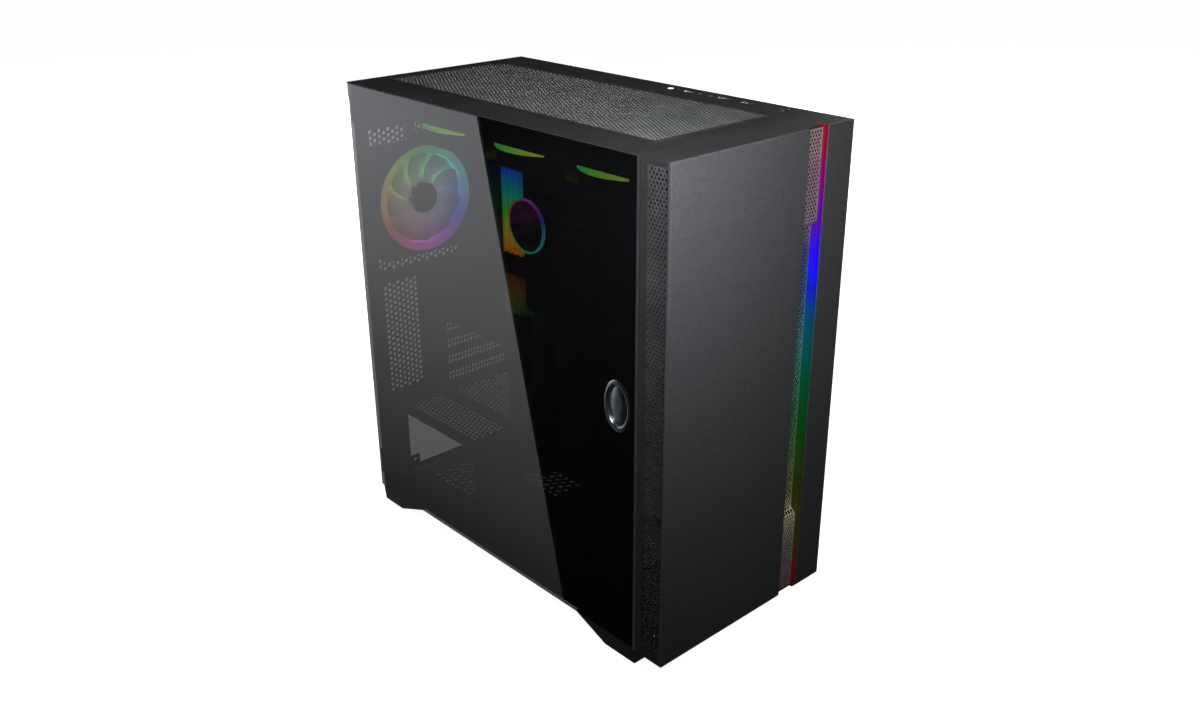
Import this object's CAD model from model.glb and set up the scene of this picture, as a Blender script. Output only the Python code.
"""Desktop computer tower: materials, detail pieces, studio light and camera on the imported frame."""
import math
import random

import bmesh
import bpy
from mathutils import Matrix, Vector


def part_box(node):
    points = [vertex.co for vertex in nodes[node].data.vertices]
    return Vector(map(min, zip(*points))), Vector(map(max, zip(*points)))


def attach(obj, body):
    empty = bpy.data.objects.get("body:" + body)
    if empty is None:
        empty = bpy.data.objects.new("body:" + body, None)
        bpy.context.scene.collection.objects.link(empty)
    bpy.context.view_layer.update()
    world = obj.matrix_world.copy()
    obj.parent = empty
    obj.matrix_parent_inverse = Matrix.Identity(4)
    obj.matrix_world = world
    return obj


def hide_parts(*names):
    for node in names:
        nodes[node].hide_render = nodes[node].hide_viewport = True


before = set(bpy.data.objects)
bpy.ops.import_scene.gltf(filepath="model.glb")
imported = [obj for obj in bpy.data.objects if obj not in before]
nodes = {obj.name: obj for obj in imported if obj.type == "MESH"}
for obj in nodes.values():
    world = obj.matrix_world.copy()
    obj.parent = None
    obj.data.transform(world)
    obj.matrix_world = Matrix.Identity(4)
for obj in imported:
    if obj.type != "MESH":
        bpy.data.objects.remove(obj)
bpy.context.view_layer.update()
scene = bpy.context.scene

DEPTH = 0.463  # case and rear screws, front to back, in metres
FOOT = 0.018  # height of the feet, in metres
ROW_STEP = 0.866  # distance between the rows of a hexagonal grid, per unit of pitch
CELL_REACH = 0.5774  # centre to corner of a hexagonal cell, per unit of pitch
MEMORY_DEPTHS = (390, 399, 408, 417)  # of the four memory modules, in millimetres
TOP_FAN_DEPTHS = (385, 265, 145)
MESH_PITCH = 0.0039  # between the holes of the side meshes
CHANNEL_DROP = 0.0055  # how far the middle of the channel lies behind its ends
CHANNEL_LOW, CHANNEL_HIGH, CHANNEL_SLOPE = 84, 379, 5  # ends and slope height of the deep part


def dy(depth):
    """Millimetres behind the front face, as a Y coordinate in metres."""
    return depth / 1000 - DEPTH / 2


def hz(height):
    """Millimetres above the case bottom, as a Z coordinate in metres."""
    return height / 1000 + FOOT


def at(x, depth, height):
    """Point from an X, a depth and a height in millimetres."""
    return Vector((x / 1000, dy(depth), hz(height)))


# ---------------------------------------------------------------- material toolkit
class Shader:
    """A node material with its Principled shader and short ways to add nodes."""

    def __init__(self, name):
        self.mat = bpy.data.materials.new(name)
        self.mat.use_nodes = True
        self.tree = self.mat.node_tree
        self.bsdf = self.tree.nodes["Principled BSDF"]
        self.coords = self.tree.nodes.new("ShaderNodeTexCoord")

    def node(self, kind, **settings):
        made = self.tree.nodes.new(kind)
        for key, value in settings.items():
            setattr(made, key, value)
        return made

    def link(self, source, target):
        self.tree.links.new(source, target)

    def set(self, **values):
        """Constant values on the Principled shader's own sockets."""
        for key, value in values.items():
            self.bsdf.inputs[key.replace("_", " ")].default_value = value

    def noise(self, scale, detail=3.0, rough=0.55, stretch=None):
        tex = self.node("ShaderNodeTexNoise")
        tex.inputs["Scale"].default_value = scale
        tex.inputs["Detail"].default_value = detail
        tex.inputs["Roughness"].default_value = rough
        source = self.coords.outputs["Object"]
        if stretch:
            mapping = self.node("ShaderNodeMapping")
            mapping.inputs["Scale"].default_value = stretch
            self.link(source, mapping.inputs["Vector"])
            source = mapping.outputs["Vector"]
        self.link(source, tex.inputs["Vector"])
        return tex.outputs["Fac"]

    def cells(self, scale, feature="F1"):
        tex = self.node("ShaderNodeTexVoronoi", feature=feature)
        tex.inputs["Scale"].default_value = scale
        self.link(self.coords.outputs["Object"], tex.inputs["Vector"])
        return tex.outputs["Distance"]

    def ramp(self, value, stops):
        made = self.node("ShaderNodeValToRGB")
        bar = made.color_ramp
        while len(bar.elements) < len(stops):
            bar.elements.new(0.5)
        for element, (place, colour) in zip(bar.elements, stops):
            element.position = place
            element.color = (*colour, 1) if len(colour) == 3 else colour
        self.link(value, made.inputs["Fac"])
        return made.outputs["Color"]

    def remap(self, value, low, high, to_low, to_high):
        made = self.node("ShaderNodeMapRange")
        for key, number in zip(("From Min", "From Max", "To Min", "To Max"), (low, high, to_low, to_high)):
            made.inputs[key].default_value = number
        self.link(value, made.inputs["Value"])
        return made.outputs["Result"]

    def math(self, operation, a, b=None, c=None):
        made = self.node("ShaderNodeMath", operation=operation)
        for socket, value in zip(made.inputs, (a, b, c)):
            if value is None:
                continue
            if isinstance(value, (int, float)):
                socket.default_value = value
            else:
                self.link(value, socket)
        return made.outputs[0]

    def axis(self, name):
        split = self.node("ShaderNodeSeparateXYZ")
        self.link(self.coords.outputs["Object"], split.inputs[0])
        return split.outputs[name]

    def bump(self, height, strength, distance=0.0004):
        made = self.node("ShaderNodeBump")
        made.inputs["Strength"].default_value = strength
        made.inputs["Distance"].default_value = distance
        self.link(height, made.inputs["Height"])
        self.link(made.outputs["Normal"], self.bsdf.inputs["Normal"])

    def hue(self, value, saturation, brightness):
        """Colour of the rainbow at value 0 to 1."""
        made = self.node("ShaderNodeCombineColor", mode="HSV")
        self.link(value, made.inputs[0])
        made.inputs[1].default_value = saturation
        made.inputs[2].default_value = brightness
        return made.outputs[0]


def surface(name, colour, metallic, roughness, grain=900.0, depth=0.15, vary=0.2, spread=0.1, **extra):
    """Coated or moulded surface: mottled colour, uneven roughness and a fine grain."""
    made = Shader(name)
    mottle = made.noise(38.0, 4.0)
    dark = [c * (1 - vary) for c in colour]
    light = [c * (1 + vary) for c in colour]
    made.link(made.ramp(mottle, [(0.3, dark), (0.7, light)]), made.bsdf.inputs["Base Color"])
    made.set(Metallic=metallic, **extra)
    fine = made.noise(grain, 2.0)
    made.link(made.remap(fine, 0.3, 0.7, roughness - spread / 2, roughness + spread / 2),
              made.bsdf.inputs["Roughness"])
    if depth:
        made.bump(fine, depth)
    return made


def speckled_plate():
    """Dark grey metallic paint with fine bright flakes."""
    made = Shader("front_plate_paint")
    flakes = made.cells(1500.0)
    colour = made.ramp(flakes, [(0.0, (0.34, 0.35, 0.37)), (0.2, (0.16, 0.165, 0.175)),
                                (0.45, (0.105, 0.108, 0.116)), (0.9, (0.07, 0.072, 0.078))])
    made.link(colour, made.bsdf.inputs["Base Color"])
    made.set(Metallic=0.4)
    fine = made.noise(1300.0, 2.0)
    made.link(made.remap(fine, 0.3, 0.7, 0.36, 0.5), made.bsdf.inputs["Roughness"])
    made.bump(fine, 0.25)
    return made


def brushed(name, colour, roughness, stretch):
    """Metal brushed along one direction."""
    made = Shader(name)
    lines = made.noise(60.0, 5.0, 0.6, stretch)
    dark = [c * 0.8 for c in colour]
    made.link(made.ramp(lines, [(0.3, dark), (0.7, colour)]), made.bsdf.inputs["Base Color"])
    made.set(Metallic=1.0)
    made.link(made.remap(lines, 0.2, 0.8, roughness - 0.08, roughness + 0.1), made.bsdf.inputs["Roughness"])
    made.bump(lines, 0.1)
    return made


def tinted_glass():
    """Dark tempered glass: the view inside stays dim and the room reflects on its surface."""
    made = Shader("tinted_glass")
    smear = made.noise(9.0, 3.0)
    made.link(made.ramp(smear, [(0.3, (0.004, 0.0045, 0.005)), (0.7, (0.006, 0.0065, 0.007))]),
              made.bsdf.inputs["Base Color"])
    made.link(made.remap(smear, 0.3, 0.7, 0.0, 0.02), made.bsdf.inputs["Roughness"])
    made.set(Alpha=0.79, Specular_IOR_Level=0.5, IOR=1.5)
    return made


def ring_glow(name, centre, normal, strength, offset, saturation=0.9):
    """Diffuser lit from inside, its colour running round the rainbow about an axis."""
    made = Shader(name)
    planes = {"Y": ("X", "Z"), "X": ("Y", "Z"), "Z": ("X", "Y")}[normal]
    middle = {"X": centre[0], "Y": centre[1], "Z": centre[2]}
    across = made.math("SUBTRACT", made.axis(planes[0]), middle[planes[0]])
    up = made.math("SUBTRACT", made.axis(planes[1]), middle[planes[1]])
    angle = made.math("ARCTAN2", up, across)
    turn = made.math("FRACT", made.math("ADD", made.math("MULTIPLY", angle, -1 / math.tau), offset))
    cloud = made.noise(30.0, 2.0)
    hue = made.hue(turn, saturation, 1.0)
    made.link(hue, made.bsdf.inputs["Base Color"])
    made.link(hue, made.bsdf.inputs["Emission Color"])
    made.link(made.remap(cloud, 0.3, 0.7, strength * 0.85, strength * 1.15),
              made.bsdf.inputs["Emission Strength"])
    made.set(Roughness=0.35)
    return made


def line_glow(name, axis, low, high, stops, strength):
    """Diffuser lit from inside, its colour running along one axis."""
    made = Shader(name)
    along = made.remap(made.axis(axis), low, high, 0.0, 1.0)
    colour = made.ramp(along, stops)
    cloud = made.noise(60.0, 2.0)
    made.link(colour, made.bsdf.inputs["Base Color"])
    made.link(colour, made.bsdf.inputs["Emission Color"])
    made.link(made.remap(cloud, 0.3, 0.7, strength * 0.9, strength * 1.1),
              made.bsdf.inputs["Emission Strength"])
    made.set(Roughness=0.3)
    return made


steel = surface("powder_coated_steel", (0.03, 0.031, 0.034), 0.2, 0.5, depth=0.2)
shell = surface("textured_black_plastic", (0.022, 0.022, 0.024), 0.0, 0.48, grain=1400.0, depth=0.25)
top_paint = surface("top_panel_paint", (0.04, 0.041, 0.045), 0.35, 0.42, grain=1300.0, depth=0.2)
plate = speckled_plate()
net = surface("perforated_sheet", (0.07, 0.072, 0.078), 0.5, 0.4, depth=0.1)
side_net = surface("side_mesh_paint", (0.11, 0.115, 0.12), 0.5, 0.4, depth=0.1)
top_mesh_paint = surface("top_mesh_paint", (0.16, 0.165, 0.17), 0.5, 0.42, depth=0.1)
trim = brushed("trim_aluminium", (0.3, 0.31, 0.33), 0.32, (1, 1, 12))
pull_metal = brushed("pull_aluminium", (0.3, 0.32, 0.36), 0.3, (1, 10, 1))
rubber = surface("foot_rubber", (0.015, 0.015, 0.016), 0.0, 0.75, grain=700.0, depth=0.4)
glass = tinted_glass()
border = surface("printed_glass_border", (0.006, 0.006, 0.007), 0.0, 0.5, depth=0.0)
fan_black = surface("fan_frame_plastic", (0.02, 0.02, 0.022), 0.0, 0.42, depth=0.1)
rotor_black = surface("fan_blade_plastic", (0.018, 0.018, 0.02), 0.0, 0.36, depth=0.08)
core_black = surface("radiator_paint", (0.02, 0.02, 0.022), 0.3, 0.5, depth=0.2)
hose = surface("hose_rubber", (0.014, 0.014, 0.015), 0.0, 0.45, grain=1800.0, depth=0.2)
gloss = surface("pump_gloss", (0.01, 0.01, 0.011), 0.0, 0.08, depth=0.0, spread=0.04)
socket_black = surface("socket_plastic", (0.016, 0.016, 0.018), 0.0, 0.4, depth=0.1)
anodised = surface("anodised_heatsink", (0.06, 0.061, 0.066), 0.85, 0.38, depth=0.15)
card_shell = surface("card_shell_plastic", (0.03, 0.03, 0.033), 0.0, 0.4, depth=0.15)
card_mirror = surface("card_backplate_polish", (0.06, 0.062, 0.066), 1.0, 0.12, depth=0.03, spread=0.06)
zinc = surface("zinc_plated_steel", (0.4, 0.41, 0.43), 1.0, 0.35, depth=0.1)
screw_black = surface("black_screw", (0.06, 0.06, 0.065), 0.9, 0.35, depth=0.1)
port_metal = surface("port_shell_metal", (0.55, 0.56, 0.58), 1.0, 0.3, depth=0.05)
lamp_clear = line_glow("status_lamp", "Z", 0.4, 0.5, [(0.0, (0.8, 0.9, 1.0)), (1.0, (0.9, 0.95, 1.0))], 1.5)


def solder_mask():
    """Near-black circuit board with faint copper lines under the lacquer."""
    made = Shader("circuit_board")
    lines = made.node("ShaderNodeTexBrick")
    lines.inputs["Scale"].default_value = 160.0
    lines.inputs["Mortar Size"].default_value = 0.03
    lines.inputs["Color1"].default_value = (0.011, 0.012, 0.014, 1)
    lines.inputs["Color2"].default_value = (0.015, 0.016, 0.019, 1)
    lines.inputs["Mortar"].default_value = (0.035, 0.036, 0.04, 1)
    swap = made.node("ShaderNodeMapping")
    swap.inputs["Rotation"].default_value = (0, math.radians(90), 0)
    made.link(made.coords.outputs["Object"], swap.inputs["Vector"])
    made.link(swap.outputs["Vector"], lines.inputs["Vector"])
    made.link(lines.outputs["Color"], made.bsdf.inputs["Base Color"])
    fine = made.noise(500.0, 2.0)
    made.link(made.remap(fine, 0.3, 0.7, 0.3, 0.42), made.bsdf.inputs["Roughness"])
    made.bump(lines.outputs["Fac"], 0.1)
    return made


board = solder_mask()


def blade_glow(name, centre, strength, offset):
    """Frosted fan blades lit from the hub: white beside the hub, coloured towards the tips."""
    made = Shader(name)
    across = made.math("SUBTRACT", made.axis("X"), centre.x)
    up = made.math("SUBTRACT", made.axis("Z"), centre.z)
    reach = made.math("SQRT", made.math("ADD", made.math("MULTIPLY", across, across),
                                        made.math("MULTIPLY", up, up)))
    turn = made.math("MULTIPLY", made.math("ARCTAN2", up, across), -1 / math.tau)
    hue = made.hue(made.math("FRACT", made.math("ADD", turn, offset)), 0.7, 1.0)
    tint = made.node("ShaderNodeCombineColor", mode="HSV")
    made.link(made.math("FRACT", made.math("ADD", turn, offset)), tint.inputs[0])
    made.link(made.remap(reach, 0.024, 0.05, 0.0, 0.8), tint.inputs[1])
    tint.inputs[2].default_value = 1.0
    made.link(hue, made.bsdf.inputs["Base Color"])
    made.link(tint.outputs[0], made.bsdf.inputs["Emission Color"])
    shine = made.ramp(made.remap(reach, 0.016, 0.049, 0.0, 1.0),
                      [(0.0, (0.8, 0.8, 0.8)), (0.25, (1, 1, 1)), (0.6, (0.75, 0.75, 0.75)),
                       (1.0, (0.3, 0.3, 0.3))])
    made.link(made.math("MULTIPLY", shine, strength), made.bsdf.inputs["Emission Strength"])
    made.set(Roughness=0.5)
    return made


REAR_FAN = at(-44, 440, 334)
PUMP = at(26, 348, 306)
rear_ring = ring_glow("rear_fan_ring_glow", REAR_FAN, "Y", 2.4, 0.583, saturation=0.85)
rear_blades = blade_glow("rear_fan_blade_glow", REAR_FAN, 1.25, 0.583)
pump_ring = ring_glow("pump_ring_glow", PUMP, "X", 1.6, 0.1)
STRIP_STOPS = [
    (0.00, (0.05, 0.001, 0.003)), (0.05, (0.055, 0.003, 0.004)), (0.12, (0.022, 0.016, 0.002)),
    (0.245, (0.016, 0.02, 0.002)), (0.38, (0.002, 0.04, 0.003)), (0.48, (0.001, 0.05, 0.015)),
    (0.57, (0.001, 0.055, 0.065)), (0.63, (0.002, 0.04, 0.12)), (0.68, (0.003, 0.01, 0.35)),
    (0.73, (0.01, 0.004, 0.7)), (0.76, (0.014, 0.003, 0.55)), (0.81, (0.05, 0.003, 0.25)),
    (0.87, (0.11, 0.001, 0.14)), (0.95, (0.16, 0.002, 0.03)), (1.00, (0.19, 0.003, 0.008)),
]
strip_glow = line_glow("front_light_bar_glow", "Z", hz(0), hz(463), STRIP_STOPS, 0.65)
NET_STOPS = [
    (0.00, (0.14, 0.08, 0.09)), (0.12, (0.16, 0.14, 0.13)), (0.19, (0.35, 0.36, 0.2)),
    (0.22, (0.16, 0.17, 0.07)), (0.38, (0.05, 0.17, 0.06)), (0.50, (0.05, 0.18, 0.12)),
    (0.58, (0.05, 0.2, 0.2)), (0.66, (0.05, 0.1, 0.16)), (0.76, (0.06, 0.07, 0.17)),
    (0.81, (0.2, 0.15, 0.2)), (0.90, (0.2, 0.13, 0.17)), (1.00, (0.28, 0.2, 0.2)),
]
net_glow = line_glow("channel_net_glow", "Z", hz(0), hz(463), NET_STOPS, 0.2)

FINISH = {
    steel: ("chassis_floor", "rear_wall", "motherboard_tray", "front_wall", "roof_frame", "psu_shroud",
            "slot_covers", "hinge_brackets", "door_hinge_leaves", "right_side_panel"),
    top_paint: ("top_panel",),
    shell: ("feet", "front_panel_frame", "power_button", "reset_button", "cable_cover",
            "card_holder_post", "card_holder_finger"),
    trim: ("front_trim",),
    rubber: ("foot_pads",),
    fan_black: ("fan_frames",),
    rotor_black: ("top_fan_rotor_1", "top_fan_rotor_2", "top_fan_rotor_3", "front_fan_rotor_1",
                  "front_fan_rotor_2", "front_fan_rotor_3", "card_fan_rotor_1", "card_fan_rotor_2"),
    rear_blades: ("rear_fan_rotor",),
    rear_ring: ("rear_fan_light_ring",),
    screw_black: ("screws", "thumbscrews"),
    core_black: ("radiator",),
    hose: ("coolant_tubes",),
    gloss: ("pump_body",),
    pump_ring: ("pump_light_ring",),
    board: ("motherboard", "card_board", "port_board"),
    socket_black: ("board_sockets",),
    anodised: ("memory_modules", "board_heatsinks", "card_heatsink"),
    port_metal: ("rear_ports", "top_ports"),
    card_mirror: ("card_backplate",),
    card_shell: ("card_shroud",),
    zinc: ("card_bracket",),
    lamp_clear: ("status_light",),
    glass: ("glass_panel",),
    pull_metal: ("door_pull",),
    plate: ("main_front_plate", "right_front_plate"),
    net: ("channel_mesh", "side_meshes", "top_filter", "bottom_filter"),
    strip_glow: ("light_bar",),
}
for shader, names in FINISH.items():
    for name in names:
        nodes[name].data.materials.clear()
        nodes[name].data.materials.append(shader.mat)


def soften(name, width, segments=2):
    """Rounded edges on a CAD node, so that its edges catch the light."""
    bevel = nodes[name].modifiers.new("edge", "BEVEL")
    bevel.width = width
    bevel.segments = segments
    bevel.limit_method = "ANGLE"
    bevel.angle_limit = math.radians(40)
    bevel.harden_normals = True


for name in ("main_front_plate", "right_front_plate", "front_trim", "card_holder_post", "glass_panel",
             "card_shroud", "feet", "light_bar", "cable_cover"):
    soften(name, 0.0005)

# ---------------------------------------------------------------- mesh toolkit


def piece(name, mesh, shader, body, smooth=False):
    """New object from a mesh, finished and riding a body."""
    made = bpy.data.objects.new(name, mesh)
    scene.collection.objects.link(made)
    mesh.materials.append(shader.mat)
    for face in mesh.polygons:
        face.use_smooth = smooth
    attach(made, body)
    return made


def from_bmesh(name, bm):
    mesh = bpy.data.meshes.new(name)
    bm.normal_update()
    bm.to_mesh(mesh)
    bm.free()
    return mesh


def perforated(name, origin, across, along, width, length, pitch, hole, wall=0.0, bends=None):
    """Sheet with staggered hexagonal holes, its rows along `across`; bends shifts points off it."""
    bm = bmesh.new()
    normal = across.cross(along).normalized()
    rows = int(length / (pitch * ROW_STEP)) + 2
    columns = int(width / pitch) + 2
    cache = {}

    def vertex(u, v, drop=0.0):
        u = min(max(u, 0.0), width)
        v = min(max(v, 0.0), length)
        key = (round(u * 2e6), round(v * 2e6), round(drop * 1e6))
        if key not in cache:
            shift = bends(v) if bends else 0.0
            cache[key] = bm.verts.new(origin + across * u + along * v - normal * (drop + shift))
        return cache[key]

    def face(corners):
        corners = [c for i, c in enumerate(corners) if c is not corners[i - 1]]
        if len(set(corners)) > 2:
            try:
                bm.faces.new(corners)
            except ValueError:
                pass

    for row in range(rows):
        for column in range(columns):
            u = (column + (0.5 if row % 2 else 0.0)) * pitch
            v = row * pitch * ROW_STEP
            angles = [math.radians(30 + 60 * k) for k in range(6)]
            outer = [(u + pitch * CELL_REACH * math.cos(a), v + pitch * CELL_REACH * math.sin(a))
                     for a in angles]
            inner = [(u + hole * math.cos(a), v + hole * math.sin(a)) for a in angles]
            if not (hole < u < width - hole and hole < v < length - hole):
                face([vertex(*p) for p in outer])
                continue
            for k in range(6):
                after = (k + 1) % 6
                face([vertex(*outer[k]), vertex(*outer[after]), vertex(*inner[after]), vertex(*inner[k])])
                if wall:
                    face([vertex(*inner[k]), vertex(*inner[after]),
                          vertex(*inner[after], wall), vertex(*inner[k], wall)])
    return from_bmesh(name, bm)


def solid_parts(name, boxes, bevel=0.0003):
    """One mesh of many small blocks, each (x0, x1, depth0, depth1, height0, height1), edges softened."""
    bm = bmesh.new()
    for x0, x1, d0, d1, h0, h1 in boxes:
        low, high = at(min(x0, x1), min(d0, d1), min(h0, h1)), at(max(x0, x1), max(d0, d1), max(h0, h1))
        size = high - low
        frame_matrix = Matrix.Translation((low + high) / 2) @ Matrix.Diagonal((*size, 1))
        bmesh.ops.create_cube(bm, size=1.0, matrix=frame_matrix)
    if bevel:
        bmesh.ops.bevel(bm, geom=bm.edges[:], offset=bevel, segments=1, affect="EDGES")
    return from_bmesh(name, bm)


def lathe(bm, profile, centre, axis, segments=64, squash=(1.0, 1.0)):
    """Surface of revolution from (radius, distance along axis) pairs. squash makes it an ellipse."""
    axis = Vector(axis)
    side_a = Vector((0, 1, 0)) if abs(axis.x) > 0.5 else Vector((1, 0, 0))
    side_b = axis.cross(side_a)
    rings = []
    for radius, along in profile:
        ring = []
        for k in range(segments):
            a = math.tau * k / segments
            offset = side_a * math.cos(a) * squash[0] + side_b * math.sin(a) * squash[1]
            ring.append(bm.verts.new(Vector(centre) + axis * along + offset * radius))
        rings.append(ring)
    for lower, upper in zip(rings, rings[1:]):
        for k in range(segments):
            after = (k + 1) % segments
            bm.faces.new((lower[k], lower[after], upper[after], upper[k]))
    for ring in (rings[0], rings[-1]):
        try:
            bm.faces.new(ring)
        except ValueError:
            pass


# ---------------------------------------------------------------- front panel meshes
for outer, label in ((-0.1117, "left"), (0.1124, "right")):
    start = Vector((outer, dy(4.4), hz(12)))
    mesh = perforated(f"side_mesh_{label}", start, Vector((0, 1, 0)), Vector((0, 0, 1)),
                      0.0216, 0.4464, MESH_PITCH, 0.0015, 0.0007)
    made = piece(f"side_mesh_{label}", mesh, side_net, "front_panel")
    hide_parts("side_meshes")


def channel_depth(height):
    """How far the channel's mesh lies behind the front plates, at a height above its lower end."""
    z = height * 1000 + 3
    if z < CHANNEL_LOW or z > CHANNEL_HIGH:
        return 0.0
    if z < CHANNEL_LOW + CHANNEL_SLOPE:
        return CHANNEL_DROP * (z - CHANNEL_LOW) / CHANNEL_SLOPE
    if z > CHANNEL_HIGH - CHANNEL_SLOPE:
        return CHANNEL_DROP * (CHANNEL_HIGH - z) / CHANNEL_SLOPE
    return CHANNEL_DROP


mesh = perforated("channel_net", Vector((0.0524, dy(3.2), hz(3))), Vector((1, 0, 0)), Vector((0, 0, 1)),
                  0.0209, 0.458, 0.0037, 0.00168, 0.0007, bends=channel_depth)
channel_net = piece("channel_net", mesh, net_glow, "front_panel")
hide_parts("channel_mesh")

# ---------------------------------------------------------------- top and bottom filters
mesh = perforated("top_filter_net", at(-72, 59, 461.6), Vector((1, 0, 0)), Vector((0, 1, 0)),
                  0.144, 0.379, 0.0041, 0.0015, 0.0006)
top_net = piece("top_filter_net", mesh, top_mesh_paint, "top_dust_filter")
rim = [(-75, -71.6, 56, 441, 459.8, 463), (71.6, 75, 56, 441, 459.8, 463),
       (-71.6, 71.6, 56, 59.4, 459.8, 463), (-71.6, 71.6, 437.6, 441, 459.8, 463),
       (60, 71.6, 430, 437.6, 461, 462.7)]
piece("top_filter_rim", solid_parts("top_filter_rim", rim, 0.0004), top_paint,
      "top_dust_filter")
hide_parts("top_filter")

mesh = perforated("bottom_filter_net", at(-66, 293, -1.4), Vector((1, 0, 0)), Vector((0, 1, 0)),
                  0.132, 0.147, 0.0033, 0.0013, 0.0004)
bottom_net = piece("bottom_filter_net", mesh, net, "bottom_dust_filter")
rim = [(-72, -66, 287, 452, -2.8, -0.6), (66, 72, 287, 452, -2.8, -0.6), (-66, 66, 287, 293, -2.8, -0.6),
       (-66, 66, 440, 452, -2.8, -0.6), (-18, 18, 452, 458, -2.8, -0.6)]
piece("bottom_filter_rim", solid_parts("bottom_filter_rim", rim, 0.0004), shell,
      "bottom_dust_filter")
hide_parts("bottom_filter")

# ---------------------------------------------------------------- glass door
border_boxes = [(-108.39, -108.2, 37.6, 50.5, 0.8, 460.8), (-108.39, -108.2, 433, 454.8, 0.8, 460.8),
                (-108.39, -108.2, 50.5, 433, 0.8, 14), (-108.39, -108.2, 50.5, 433, 447.5, 460.8)]
piece("door_border", solid_parts("door_border", border_boxes, 0), border, "glass_door")

pull = at(-113, 59.3, 240.5)
bm = bmesh.new()
ring_profile = [(0.0126, 0.0030), (0.0126, 0.0006), (0.0131, 0.0001), (0.0140, 0.0), (0.0152, 0.0001),
                (0.01605, 0.0005), (0.01615, 0.0006)]
lathe(bm, ring_profile, pull, (1, 0, 0), 96, (1.0, 24.3 / 16.15))
bmesh.ops.delete(bm, geom=[f for f in bm.faces if len(f.verts) > 4], context="FACES_ONLY")
pull_ring = piece("door_pull_ring", from_bmesh("door_pull_ring", bm), pull_metal, "glass_door",
                  smooth=True)
bm = bmesh.new()
lathe(bm, [(0.0126, 0.0030), (0.0112, 0.0027), (0.0100, 0.0021), (0.0040, 0.0019), (0.0001, 0.0019)],
      pull, (1, 0, 0), 96, (1.0, 21.0 / 12.4))
piece("door_pull_dish", from_bmesh("door_pull_dish", bm), pull_metal, "glass_door",
      smooth=True)
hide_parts("door_pull")

# ---------------------------------------------------------------- lit parts of the boards
RAM_STOPS = [
    (0.00, (1.0, 0.25, 0.02)), (0.18, (0.8, 0.6, 0.02)), (0.35, (0.1, 0.8, 0.05)),
    (0.55, (0.0, 0.6, 0.5)), (0.75, (0.03, 0.08, 1.0)), (1.00, (0.5, 0.03, 0.8)),
]
ram_glow = line_glow("memory_glow", "Z", hz(256), hz(389), RAM_STOPS, 2.2)
bars = [(50, 56, depth - 2.4, depth + 2.4, 256, 389.3) for depth in MEMORY_DEPTHS]
piece("memory_light_bars", solid_parts("memory_light_bars", bars, 0.0008), ram_glow,
      "case")
spreaders = []
for depth in MEMORY_DEPTHS:
    spreaders += [(56, 76, depth - 2.8, depth + 2.8, 256, 389.3)]
    spreaders += [(58, 73, depth - 2.9, depth + 2.9, 264 + 24 * k, 282 + 24 * k) for k in range(5)]
spreader_piece = piece("memory_spreaders", solid_parts("memory_spreaders", spreaders), anodised,
                       "case")
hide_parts("memory_modules")

for number, depth in enumerate(TOP_FAN_DEPTHS):
    glow = ring_glow(f"top_fan_glow_{number + 1}", at(0, depth, 417), "Z", 3.0, 0.8)
    bm = bmesh.new()
    lathe(bm, [(0.0588, 0.0), (0.0597, 0.0004), (0.0597, 0.0056), (0.0588, 0.006)],
          at(0, depth, 414.6), (0, 0, 1), 96)
    bmesh.ops.delete(bm, geom=[f for f in bm.faces if len(f.verts) > 4], context="FACES_ONLY")
    made = piece(f"top_fan_band_{number + 1}", from_bmesh(f"top_fan_band_{number + 1}", bm), glow,
                 "case", smooth=True)
    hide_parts("top_fan_light_rings")

# ---------------------------------------------------------------- fan rotors


def fan_blades(bm, centre, axis, low, high, hub, tip, count, cover, twist=0.35, thick=0.0011):
    """Curved blades round an axis. cover is one blade's share of the full turn."""
    axis = Vector(axis)
    side_a = Vector((0, 0, 1)) if abs(axis.z) < 0.5 else Vector((1, 0, 0))
    side_b = axis.cross(side_a)
    spans, chords = 7, 6
    for blade in range(count):
        start = math.tau * blade / count
        sheets = []
        for lift in (0.0, thick):
            grid = []
            for i in range(spans + 1):
                share = i / spans
                radius = hub - 0.0006 + (tip - hub + 0.0006) * share
                width = math.tau * cover * (1.0 + 0.12 * share)
                lead = start + twist * share * share
                row = []
                for j in range(chords + 1):
                    along = j / chords
                    a = lead + width * along
                    rise = low + 0.001 + (high - low - 0.003) * (along + 0.12 * math.sin(math.pi * along))
                    spoke = side_a * math.cos(a) + side_b * math.sin(a)
                    row.append(bm.verts.new(centre + spoke * radius + axis * (rise + lift)))
                grid.append(row)
            sheets.append(grid)
        lower, upper = sheets
        for i in range(spans):
            for j in range(chords):
                bm.faces.new((lower[i][j], lower[i + 1][j], lower[i + 1][j + 1], lower[i][j + 1]))
                bm.faces.new((upper[i][j], upper[i][j + 1], upper[i + 1][j + 1], upper[i + 1][j]))
        for i in range(spans):
            for j in (0, chords):
                bm.faces.new((lower[i][j], lower[i + 1][j], upper[i + 1][j], upper[i][j]))
        for j in range(chords):
            for i in (0, spans):
                bm.faces.new((lower[i][j], lower[i][j + 1], upper[i][j + 1], upper[i][j]))


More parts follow.
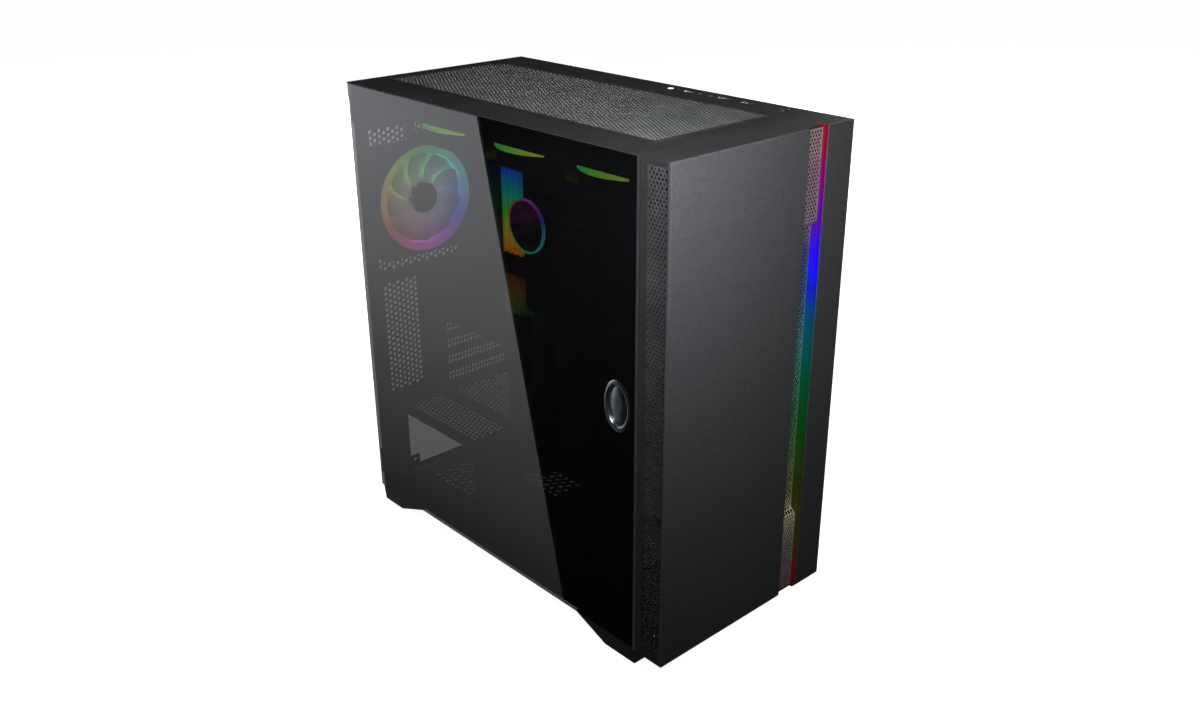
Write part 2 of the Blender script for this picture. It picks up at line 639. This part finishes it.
def build_rotor(node, axis, hub, tip, count, cover, blade_finish, hub_finish, facing=-1):
    """Hub cup and curved blades in the room of a CAD rotor. facing is the side of the cup."""
    low_corner, high_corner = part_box(node)
    middle = (low_corner + high_corner) / 2
    axis = Vector(axis)
    half = abs((high_corner - low_corner).dot(axis)) / 2 - 0.0002
    bm = bmesh.new()
    fan_blades(bm, middle, axis, -half, half, hub, tip, count, cover)
    blades = piece(node + "_blades", from_bmesh(node + "_blades", bm), blade_finish, node, True)
    bm = bmesh.new()
    cup = [(0.0003, half), (hub * 0.62, half), (hub * 0.64, half - 0.0004), (hub - 0.0016, half - 0.0004),
           (hub - 0.0004, half - 0.001), (hub, half - 0.0024), (hub, -half), (hub - 0.0012, -half),
           (hub - 0.0012, half - 0.004)]
    lathe(bm, [(r, facing * d) for r, d in cup], middle, axis, 48)
    piece(node + "_hub", from_bmesh(node + "_hub", bm), hub_finish, node)
    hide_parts(node)


build_rotor("rear_fan_rotor", (0, 1, 0), 0.0165, 0.048, 9, 0.34, rear_blades, rotor_black)
for number in (1, 2, 3):
    build_rotor(f"top_fan_rotor_{number}", (0, 0, 1), 0.020, 0.0553, 9, 0.115, rotor_black, rotor_black)
    build_rotor(f"front_fan_rotor_{number}", (0, 1, 0), 0.020, 0.0553, 9, 0.115, rotor_black, rotor_black)
for number in (1, 2):
    build_rotor(f"card_fan_rotor_{number}", (0, 0, 1), 0.015, 0.0442, 11, 0.08, rotor_black, rotor_black)

# ---------------------------------------------------------------- small parts on the motherboard
KEEP_CLEAR = [(309, 387, 266, 346), (384, 422, 248, 397), (274, 309, 248, 397), (310, 386, 384, 398),
              (420, 449, 246, 397), (212, 298, 119, 199), (304, 324, 147, 193), (328, 432, 130, 141),
              (328, 432, 170, 181), (328, 432, 211, 222), (328, 432, 229, 242), (206, 218, 98, 110),
              (314, 326, 98, 110), (434, 446, 98, 110), (206, 218, 234, 246), (206, 222, 392, 402),
              (314, 326, 392, 402), (434, 446, 392, 402)]
rng = random.Random(7)
placed = []


def free_spot(d0, d1, h0, h1, wide, tall):
    """A random spot (depths, heights) for a part of this size, clear of those placed, or None."""
    for _ in range(60):
        d = rng.uniform(d0 + wide / 2, d1 - wide / 2)
        h = rng.uniform(h0 + tall / 2, h1 - tall / 2)
        spot = (d - wide / 2, d + wide / 2, h - tall / 2, h + tall / 2)
        if all(spot[1] < o[0] or spot[0] > o[1] or spot[3] < o[2] or spot[2] > o[3]
               for o in KEEP_CLEAR + placed):
            placed.append((spot[0] - 0.6, spot[1] + 0.6, spot[2] - 0.6, spot[3] + 0.6))
            return spot
    return None


chip_black = surface("chip_resin", (0.016, 0.016, 0.018), 0.0, 0.35, depth=0.1)
choke_grey = surface("choke_case", (0.07, 0.07, 0.075), 0.3, 0.5, depth=0.2)
cap_metal = surface("capacitor_can", (0.5, 0.51, 0.53), 1.0, 0.28, depth=0.05)
tin = surface("tinned_contacts", (0.6, 0.6, 0.58), 1.0, 0.35, depth=0.05)

chokes = [(77, 82, 314 + 9 * k, 321 + 9 * k, 350, 357) for k in range(8)]
chokes += [(79.6, 82, 314 + 9 * k, 320 + 9 * k, 361, 369) for k in range(8)]
placed += [(312, 388, 348, 371)]
plugs = [(70.5, 82, 207, 217, 300, 352), (72, 82, 207, 219, 250, 270), (72, 82, 207, 219, 274, 294),
         (73, 82, 300, 322, 373, 383), (74, 82, 240, 262, 99, 105), (74, 82, 270, 292, 99, 105),
         (74, 82, 340, 374, 99, 105)]
placed += [(d0 - 1, d1 + 1, h0 - 1, h1 + 1) for _, _, d0, d1, h0, h1 in plugs]
chips, pads = [], []
for zone, count, size in (((222, 274, 202, 396), 9, 9), ((330, 430, 100, 128), 3, 10),
                          ((330, 430, 142, 228), 8, 7), ((206, 300, 100, 240), 6, 8)):
    for _ in range(count):
        side_length = size * rng.uniform(0.6, 1.3)
        spot = free_spot(*zone, side_length + 1.6, side_length + 1.6)
        if spot:
            chips.append((80.8, 82, spot[0] + 0.8, spot[1] - 0.8, spot[2] + 0.8, spot[3] - 0.8))
            pads.append((81.8, 82, spot[0], spot[1], spot[2] + 1.2, spot[3] - 1.2))
small = []
for _ in range(150):
    wide, tall = rng.choice(((1.2, 2.2), (2.2, 1.2), (1.6, 3.0)))
    spot = free_spot(222, 440, 100, 398, wide, tall)
    if spot:
        small.append((81.2, 82, *spot))
piece("board_chokes", solid_parts("board_chokes", chokes, 0.0005), choke_grey, "case")
piece("board_plugs", solid_parts("board_plugs", plugs, 0.0004), socket_black, "case")
piece("board_chips", solid_parts("board_chips", chips, 0.0001), chip_black, "case")
piece("board_chip_legs", solid_parts("board_chip_legs", pads, 0), tin, "case")
piece("board_small_parts", solid_parts("board_small_parts", small, 0.0001), choke_grey, "case")

bm = bmesh.new()
for _ in range(26):
    spot = free_spot(222, 440, 100, 398, 6.6, 6.6)
    if spot:
        centre = at(82, (spot[0] + spot[1]) / 2, (spot[2] + spot[3]) / 2)
        lathe(bm, [(0.0031, 0.0), (0.0031, 0.0052), (0.0029, 0.0056), (0.0001, 0.0056)],
              centre, (-1, 0, 0), 20)
piece("board_capacitors", from_bmesh("board_capacitors", bm), cap_metal, "case", smooth=False)

# ---------------------------------------------------------------- thumbscrews of the right panel
bm = bmesh.new()
for height in (60, 400):
    centre = at(107, 453.3, height)
    lathe(bm, [(0.0019, 0.0), (0.0019, 0.0031), (0.0048, 0.0031), (0.0048, 0.0040)], centre, (0, 1, 0), 32)
    teeth = 40
    ring_low, ring_high, rim_in, cup = [], [], [], []
    for k in range(teeth * 2):
        a = math.tau * k / (teeth * 2)
        radius = 0.0056 if k % 2 else 0.00525
        turn = Vector((math.cos(a), 0, math.sin(a)))
        ring_low.append(bm.verts.new(centre + turn * radius + Vector((0, 0.0040, 0))))
        ring_high.append(bm.verts.new(centre + turn * radius + Vector((0, 0.0093, 0))))
        rim_in.append(bm.verts.new(centre + turn * 0.0048 + Vector((0, 0.0097, 0))))
        cup.append(bm.verts.new(centre + turn * 0.0034 + Vector((0, 0.0082, 0))))
    for lower, upper in ((ring_low, ring_high), (ring_high, rim_in), (rim_in, cup)):
        for k in range(teeth * 2):
            after = (k + 1) % (teeth * 2)
            bm.faces.new((lower[k], upper[k], upper[after], lower[after]))
    bm.faces.new(ring_low)
    bm.faces.new(cup)
knurled = piece("thumbscrew_heads", from_bmesh("thumbscrew_heads", bm), screw_black, "right_panel")
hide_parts("thumbscrews")

# ---------------------------------------------------------------- stage, light and camera


def stage_plane(name, corners, mat):
    mesh = bpy.data.meshes.new(name)
    mesh.from_pydata([Vector(c) for c in corners], [], [range(len(corners))])
    mesh.materials.append(mat)
    made = bpy.data.objects.new(name, mesh)
    scene.collection.objects.link(made)
    return made


floor_shader = Shader("studio_floor")
floor_colour = floor_shader.ramp(floor_shader.noise(2.0),
                                 [(0.3, (0.93, 0.93, 0.93)), (0.7, (0.95, 0.95, 0.95))])
floor_shader.link(floor_colour, floor_shader.bsdf.inputs["Base Color"])
floor_shader.set(Roughness=1.0, Specular_IOR_Level=0.0, Emission_Color=(1, 1, 1, 1), Emission_Strength=0.97)
floor = stage_plane("studio_floor", [(-15, -15, 0), (15, -15, 0), (15, 15, 0), (-15, 15, 0)],
                    floor_shader.mat)
floor.visible_glossy = False
floor.visible_diffuse = False

# softbox panel seen only as a reflection in the glass door, brighter towards its upper end
veil = Shader("side_panel_glow")
fade = veil.ramp(veil.remap(veil.axis("Z"), -1.45, 0.0, 0.0, 1.0),
                 [(p, (g, g, g)) for p, g in ((0.0, 0.08), (0.1, 0.13), (0.33, 0.25), (0.5, 0.42),
                                              (0.68, 0.62), (0.95, 0.92))])
veil.link(veil.math("MULTIPLY", fade, 2.4), veil.bsdf.inputs["Emission Strength"])
veil.set(Base_Color=(0, 0, 0, 1), Emission_Color=(0.93, 0.95, 1.0, 1), Specular_IOR_Level=0.0)
side_panel = stage_plane("side_panel", [(-1.5, 0.947, -4), (-1.5, 8, -4), (-1.5, 8, 2), (-1.5, 2.344, 2)],
                         veil.mat)
for way in ("camera", "diffuse", "transmission", "volume_scatter", "shadow"):
    setattr(side_panel, "visible_" + way, False)

world = bpy.data.worlds.new("studio")
scene.world = world
world.use_nodes = True
wt = world.node_tree
back = wt.nodes["Background"]
path = wt.nodes.new("ShaderNodeLightPath")
pick = wt.nodes.new("ShaderNodeMix")
pick.data_type = "RGBA"
pick.inputs["A"].default_value = (0.008, 0.008, 0.0085, 1)
pick.inputs["B"].default_value = (1, 1, 1, 1)
wt.links.new(path.outputs["Is Camera Ray"], pick.inputs["Factor"])
wt.links.new(pick.outputs["Result"], back.inputs["Color"])


def softbox(name, place, target, width, height, power):
    data = bpy.data.lights.new(name, "AREA")
    data.shape = "RECTANGLE"
    data.size, data.size_y = width, height
    data.energy = power
    made = bpy.data.objects.new(name, data)
    made.location = place
    made.rotation_mode = "QUATERNION"
    made.rotation_quaternion = (Vector(target) - Vector(place)).to_track_quat("-Z", "Y")
    made.visible_camera = False
    scene.collection.objects.link(made)
    return made


key_softbox = softbox("key_softbox", (-0.28, -0.47, 0.67), (-0.1, -0.2, 0.48), 0.2, 0.2, 1.15)
key_softbox.data.spread = math.radians(85)
softbox("front_softbox", (0.6, -2.6, 1.2), (0, -0.2, 0.3), 1.4, 1.0, 0.5)
softbox("top_softbox", (0.9, 1.4, 2.2), (0, 0, 0.4), 1.2, 1.2, 1.2)
rear_softbox = softbox("rear_softbox", (0.3, 2.4, 0.5), (0, 0, 0.25), 1.6, 1.2, 60)
rear_softbox.visible_glossy = False
softbox("right_softbox", (2.4, 0.3, 0.5), (0, 0, 0.25), 1.6, 1.4, 40)
# the glow of the lit parts inside the case
inside_glow = softbox("inside_glow", at(-100, 240, 290), at(60, 260, 290), 0.05, 0.25, 0.08)
inside_glow.visible_glossy = False

# camera: about a 35 mm lens, from the front left and above
TURN, DOWN, ROLL = math.radians(42.568), math.radians(23.604), math.radians(-0.18)
look = Vector((math.sin(TURN) * math.cos(DOWN), math.cos(TURN) * math.cos(DOWN), -math.sin(DOWN)))
camera_data = bpy.data.cameras.new("camera")
camera_data.lens = 35.34
camera_data.sensor_width = 36.0
camera = bpy.data.objects.new("camera", camera_data)
camera.location = (-0.7349, -0.5973 - DEPTH / 2, 0.6791 + FOOT)
camera.rotation_mode = "QUATERNION"
camera.rotation_quaternion = look.to_track_quat("-Z", "Y") @ Matrix.Rotation(ROLL, 3, "Z").to_quaternion()
scene.collection.objects.link(camera)
scene.camera = camera
scene.view_settings.view_transform = "Standard"
